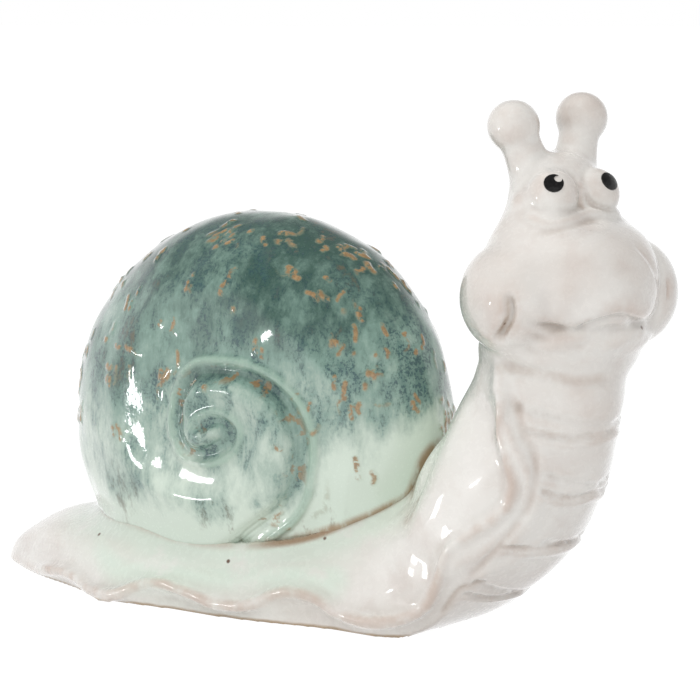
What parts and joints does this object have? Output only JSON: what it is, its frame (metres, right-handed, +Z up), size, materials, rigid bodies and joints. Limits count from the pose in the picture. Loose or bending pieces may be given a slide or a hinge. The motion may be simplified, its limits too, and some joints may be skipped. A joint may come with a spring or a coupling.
{
  "type": "snail figurine",
  "caption": "Free-standing glazed stoneware snail ornament with a coiled shell, frilled foot, raised ribbed neck and turned head with two knobbed tentacles.",
  "frame": {"origin": "on the flat sole, on the ground, straight below the middle of the shell", "axes": "+X towards the chest and head, +Y towards the snail's left, +Z up"},
  "size_m": [0.3111, 0.1086, 0.2011],
  "materials": {
    "body_glaze": "glossy milky white glaze, thin and pinkish brown on edges and in creases, with a green tint beside the shell",
    "shell_glaze": "glossy mottled green reactive glaze with blue-black specks and orange-brown breaks on raised spots",
    "pupil_enamel": "glossy black fired enamel"
  },
  "bodies": {
    "root": {"foot": "body_glaze", "neck": "body_glaze", "shell": "shell_glaze", "head": "body_glaze", "tentacle_right": "body_glaze", "tentacle_left": "body_glaze", "eyeball_right": "body_glaze", "eyeball_left": "body_glaze", "pupil_right": "pupil_enamel", "pupil_left": "pupil_enamel"}
  },
  "joints": []
}
